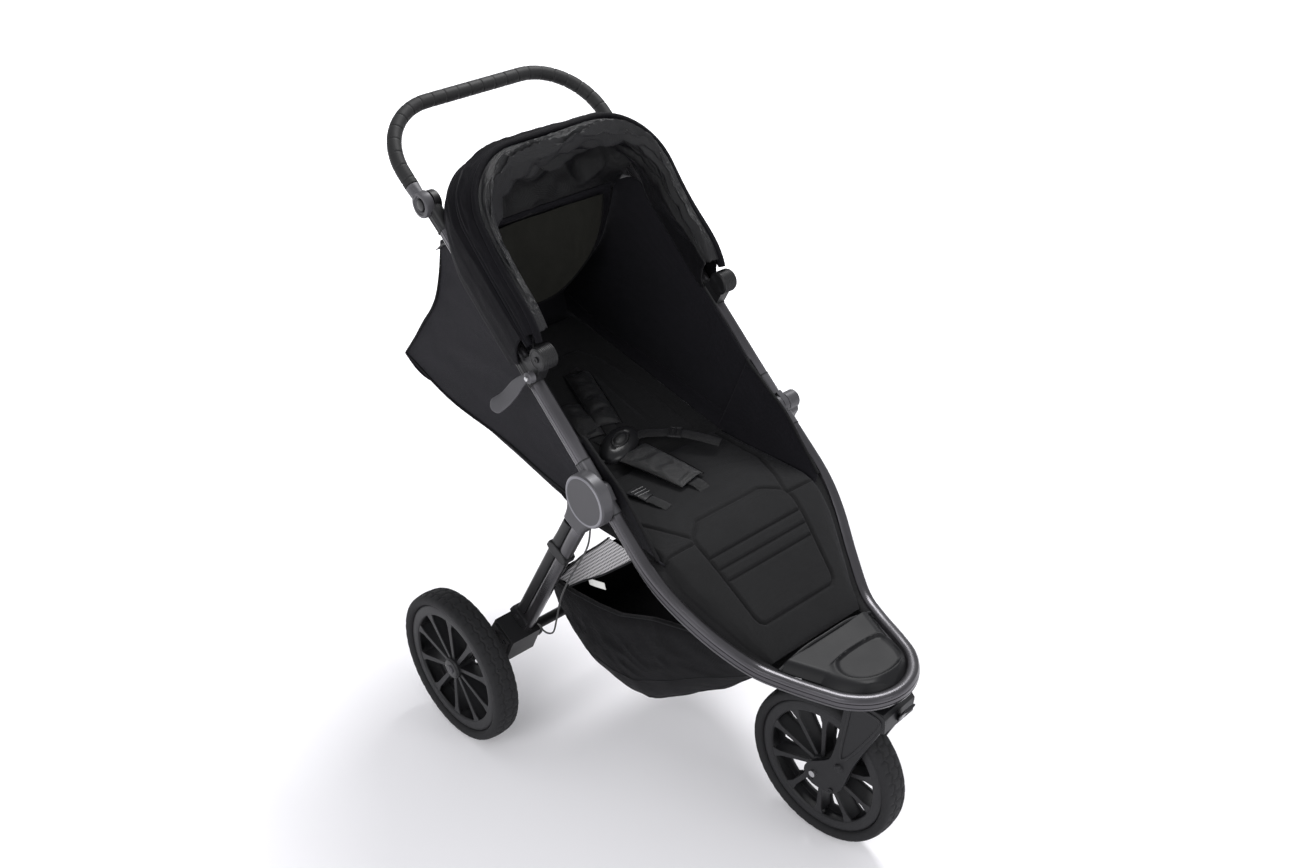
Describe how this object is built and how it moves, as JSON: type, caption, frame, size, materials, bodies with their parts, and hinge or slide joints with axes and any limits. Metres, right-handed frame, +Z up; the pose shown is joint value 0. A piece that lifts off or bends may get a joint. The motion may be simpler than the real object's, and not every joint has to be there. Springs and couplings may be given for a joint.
{
  "type": "jogging stroller",
  "caption": "Folding three-wheeled jogging stroller with a swivelling front fork, hinged frame, reclining seat, folding canopy, adjustable handlebar and an under-seat basket.",
  "frame": {"origin": "on the floor, in the middle of the whole object", "axes": "+Z up, front wheel towards -Y, the rider's left at +X"},
  "size_m": [0.6768, 1.0494, 1.0843],
  "materials": {
    "frame_metal": "satin gunmetal paint",
    "cast_metal": "satin dark grey paint on castings",
    "steel": "plain steel",
    "black_plastic": "moulded black plastic",
    "wheel_plastic": "moulded charcoal plastic",
    "tyre_rubber": "matte tread rubber",
    "grip_foam": "foam with cross seams",
    "cable_sleeve": "light grey cable sleeve",
    "canopy_cloth": "woven black cloth with a slight violet tint",
    "seat_cloth": "woven charcoal cloth",
    "basket_cloth": "black cloth with mesh sides"
  },
  "bodies": {
    "front_frame": {"front_frame_tube": "frame_metal", "lower_knuckle_right": "cast_metal", "lower_knuckle_left": "cast_metal", "hinge_pin_right": "steel", "hinge_pin_left": "steel", "footplate": "black_plastic", "fork_mount": "black_plastic", "seat_base": "seat_cloth", "legrest": "seat_cloth", "crotch_pad": "seat_cloth", "basket": "basket_cloth"},
    "upper_frame": {"upper_tube_right": "frame_metal", "upper_tube_left": "frame_metal", "upper_knuckle_right": "cast_metal", "upper_knuckle_left": "cast_metal", "canopy_mount_right": "black_plastic", "canopy_mount_left": "black_plastic", "handle_housing_right": "black_plastic", "handle_housing_left": "black_plastic", "side_wall_right": "seat_cloth", "side_wall_left": "seat_cloth", "rear_panel": "seat_cloth"},
    "rear_legs": {"leg_casting_right": "cast_metal", "leg_casting_left": "cast_metal", "rear_leg_right": "frame_metal", "rear_leg_left": "frame_metal", "axle_bracket_right": "black_plastic", "axle_bracket_left": "black_plastic", "rear_crossbar": "black_plastic", "brake_cable": "cable_sleeve"},
    "handle": {"handlebar": "cast_metal", "handle_grip": "grip_foam"},
    "handle_button_right": {"handle_button_right": "black_plastic"},
    "handle_button_left": {"handle_button_left": "black_plastic"},
    "canopy_rear": {"canopy_bow_rear": "black_plastic", "canopy_cloth_rear": "canopy_cloth"},
    "canopy_middle": {"canopy_bow_middle": "black_plastic", "canopy_cloth_front": "canopy_cloth"},
    "canopy_front": {"canopy_bow_front": "black_plastic"},
    "backrest": {"backrest": "seat_cloth", "shoulder_pad_right": "seat_cloth", "shoulder_pad_left": "seat_cloth", "harness_buckle": "black_plastic"},
    "buckle_button": {"buckle_button": "black_plastic"},
    "brake_lever": {"brake_lever": "frame_metal"},
    "brake_pin_right": {"brake_pin_right": "steel"},
    "brake_pin_left": {"brake_pin_left": "steel"},
    "fork": {"fork": "cast_metal", "steering_stem": "steel", "front_axle": "steel"},
    "swivel_lock": {"swivel_lock_lever": "black_plastic"},
    "front_wheel": {"front_wheel": "wheel_plastic", "front_tyre": "tyre_rubber"},
    "rear_wheel_right": {"rear_wheel_right": "wheel_plastic", "rear_tyre_right": "tyre_rubber"},
    "rear_wheel_left": {"rear_wheel_left": "wheel_plastic", "rear_tyre_left": "tyre_rubber"},
    "wheel_release_right": {"wheel_release_right": "black_plastic"},
    "wheel_release_left": {"wheel_release_left": "black_plastic"}
  },
  "joints": [
    {"name": "frame_fold", "type": "hinge", "parent": "front_frame", "child": "upper_frame", "pos_m": [0, -0.04193, 0.602], "axis": [1, 0, 0], "range_deg": [0, 120]},
    {"name": "rear_leg_fold", "type": "hinge", "parent": "front_frame", "child": "rear_legs", "pos_m": [0, -0.04193, 0.602], "axis": [1, 0, 0], "range_deg": [-48, 0]},
    {"name": "handle_tilt", "type": "hinge", "parent": "upper_frame", "child": "handle", "pos_m": [0, 0.37316, 0.96283], "axis": [1, 0, 0], "range_deg": [-98, 35]},
    {"name": "handle_button_right_press", "type": "slide", "parent": "handle", "child": "handle_button_right", "axis": [1, 0, 0], "range_m": [0, 0.004], "stiffness_N_per_m": 400},
    {"name": "handle_button_left_press", "type": "slide", "parent": "handle", "child": "handle_button_left", "axis": [-1, 0, 0], "range_m": [0, 0.004], "stiffness_N_per_m": 400},
    {"name": "canopy_rear_turn", "type": "hinge", "parent": "upper_frame", "child": "canopy_rear", "pos_m": [0, 0.09478, 0.78921], "axis": [-1, 0, 0], "range_deg": [-15, 0]},
    {"name": "canopy_front_turn", "type": "hinge", "parent": "upper_frame", "child": "canopy_front", "pos_m": [0, 0.09478, 0.78921], "axis": [-1, 0, 0], "range_deg": [-85, 0]},
    {"name": "canopy_middle_turn", "type": "hinge", "parent": "upper_frame", "child": "canopy_middle", "pos_m": [0, 0.09478, 0.78921], "axis": [-1, 0, 0], "range_deg": [-42.5, 0]},
    {"name": "backrest_recline", "type": "hinge", "parent": "upper_frame", "child": "backrest", "pos_m": [0, 0.08407, 0.511], "axis": [1, 0, 0], "range_deg": [0, 48]},
    {"name": "buckle_button_press", "type": "slide", "parent": "backrest", "child": "buckle_button", "axis": [0, 0.1822, -0.9833], "range_m": [0, 0.0015], "stiffness_N_per_m": 400},
    {"name": "brake_lever_turn", "type": "hinge", "parent": "upper_frame", "child": "brake_lever", "pos_m": [-0.218, 0.10429, 0.75693], "axis": [1, 0, 0], "range_deg": [0, 50]},
    {"name": "brake_pin_right_slide", "type": "slide", "parent": "rear_legs", "child": "brake_pin_right", "axis": [-1, 0, 0], "range_m": [0, 0.006]},
    {"name": "brake_pin_left_slide", "type": "slide", "parent": "rear_legs", "child": "brake_pin_left", "axis": [1, 0, 0], "range_m": [0, 0.006]},
    {"name": "fork_swivel", "type": "hinge", "parent": "front_frame", "child": "fork", "pos_m": [0, -0.45593, 0.35], "axis": [0, 0, 1], "continuous": true},
    {"name": "swivel_lock_turn", "type": "hinge", "parent": "fork", "child": "swivel_lock", "pos_m": [0.00379, -0.50519, 0.3155], "axis": [0.9971, 0.0767, 0], "range_deg": [0, 18]},
    {"name": "front_wheel_roll", "type": "hinge", "parent": "fork", "child": "front_wheel", "pos_m": [-0.00606, -0.37716, 0.144], "axis": [0.9971, 0.0767, 0], "continuous": true},
    {"name": "rear_wheel_right_roll", "type": "hinge", "parent": "rear_legs", "child": "rear_wheel_right", "pos_m": [-0.312, 0.23407, 0.144], "axis": [1, 0, 0], "continuous": true},
    {"name": "rear_wheel_left_roll", "type": "hinge", "parent": "rear_legs", "child": "rear_wheel_left", "pos_m": [0.312, 0.23407, 0.144], "axis": [1, 0, 0], "continuous": true},
    {"name": "wheel_release_right_press", "type": "slide", "parent": "rear_wheel_right", "child": "wheel_release_right", "axis": [1, 0, 0], "range_m": [0, 0.004], "stiffness_N_per_m": 400},
    {"name": "wheel_release_left_press", "type": "slide", "parent": "rear_wheel_left", "child": "wheel_release_left", "axis": [-1, 0, 0], "range_m": [0, 0.004], "stiffness_N_per_m": 400}
  ],
  "couplings": [
    {"joint": "rear_leg_fold", "follows": "frame_fold", "ratio": -0.4},
    {"joint": "canopy_middle_turn", "follows": "canopy_front_turn", "ratio": 0.5},
    {"joint": "canopy_rear_turn", "follows": "canopy_front_turn", "ratio": 0.1},
    {"joint": "brake_pin_right_slide", "follows": "brake_lever_turn", "m_per_rad": 0.006875},
    {"joint": "brake_pin_left_slide", "follows": "brake_lever_turn", "m_per_rad": 0.006875}
  ]
}
